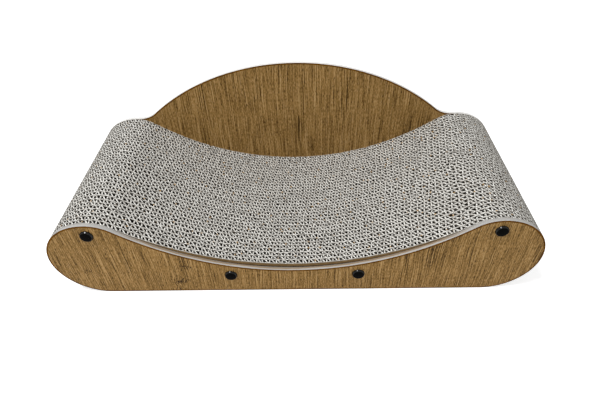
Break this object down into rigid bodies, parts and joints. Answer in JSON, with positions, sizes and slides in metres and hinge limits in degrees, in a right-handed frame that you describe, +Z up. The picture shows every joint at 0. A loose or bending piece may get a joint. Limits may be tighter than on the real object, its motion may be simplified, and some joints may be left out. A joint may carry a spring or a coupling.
{
  "type": "cardboard cat scratcher lounge",
  "caption": "Low cat scratcher lounge: corrugated cardboard sheets with a curved seat, clamped between wood-grain boards, the back one arched.",
  "frame": {"origin": "on the floor, at the middle of the length and depth", "axes": "+X along the lounge to the right seen from the front, -Y to the front, +Z up"},
  "size_m": [0.65, 0.2556, 0.224],
  "materials": {
    "wood_board": "satin wood-grain print, pale bare edge",
    "corrugated": "matte grey-white paper",
    "steel_rod": "zinc plated",
    "black_cap": "glossy black"
  },
  "bodies": {
    "root": {"front_board": "wood_board", "back_board": "wood_board", "core_sheet_01": "corrugated", "core_sheet_02": "corrugated", "core_sheet_03": "corrugated", "core_sheet_04": "corrugated", "core_sheet_05": "corrugated", "core_sheet_06": "corrugated", "core_sheet_07": "corrugated", "core_sheet_08": "corrugated", "core_sheet_09": "corrugated", "core_sheet_10": "corrugated", "core_sheet_11": "corrugated", "core_sheet_12": "corrugated", "core_sheet_13": "corrugated", "core_sheet_14": "corrugated", "core_sheet_15": "corrugated", "core_sheet_16": "corrugated", "core_sheet_17": "corrugated", "core_sheet_18": "corrugated", "core_sheet_19": "corrugated", "core_sheet_20": "corrugated", "core_sheet_21": "corrugated", "core_sheet_22": "corrugated", "core_sheet_23": "corrugated", "core_sheet_24": "corrugated", "core_sheet_25": "corrugated", "core_sheet_26": "corrugated", "core_sheet_27": "corrugated", "core_sheet_28": "corrugated", "core_sheet_29": "corrugated", "core_sheet_30": "corrugated", "core_sheet_31": "corrugated", "core_sheet_32": "corrugated", "core_sheet_33": "corrugated", "core_sheet_34": "corrugated", "core_sheet_35": "corrugated", "core_sheet_36": "corrugated", "tie_rods": "steel_rod", "front_cap_nuts": "black_cap", "back_cap_nuts": "black_cap"}
  },
  "joints": []
}
